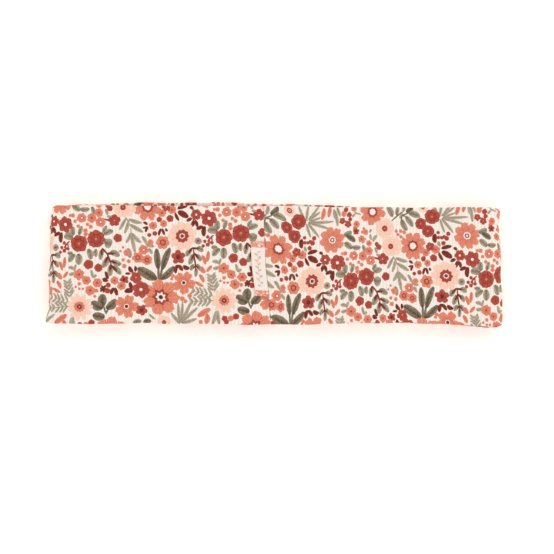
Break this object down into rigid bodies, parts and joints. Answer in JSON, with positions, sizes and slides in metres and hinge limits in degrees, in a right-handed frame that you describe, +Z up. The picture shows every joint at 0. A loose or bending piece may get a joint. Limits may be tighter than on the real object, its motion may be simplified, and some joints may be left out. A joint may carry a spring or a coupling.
{
  "type": "headband",
  "caption": "Wide loop headband of printed ribbed jersey, lying flat, with a lining, a cross seam and a small folded ribbon label that flips over.",
  "frame": {"origin": "middle of the underside of the band as it lies flat, under the centre of the overall box", "axes": "+X along the flattened loop, +Y across the cloth's width (the way the head goes through), +Z up, towards the layer with the label"},
  "size_m": [0.208, 0.056, 0.0108],
  "materials": {
    "printed_jersey": "ribbed cotton jersey, cream with a floral print in coral, brick, blush and olive",
    "sewing_thread": "matte spun thread",
    "label_ribbon": "soft printed ribbon"
  },
  "bodies": {
    "band": {"outer_panel": "printed_jersey", "lining_panel": "printed_jersey", "upper_seam_thread": "sewing_thread", "lower_seam_thread": "sewing_thread", "cross_seam_thread": "sewing_thread", "lining_cross_seam_thread": "sewing_thread", "label_tail": "label_ribbon"},
    "label": {"label_flap": "label_ribbon"}
  },
  "joints": [
    {"name": "label_flip", "type": "hinge", "parent": "band", "child": "label", "pos_m": [-0.00431, -0.0016, 0.01043], "axis": [-0.0558, 0.9984, 0], "range_deg": [0, 165]}
  ]
}
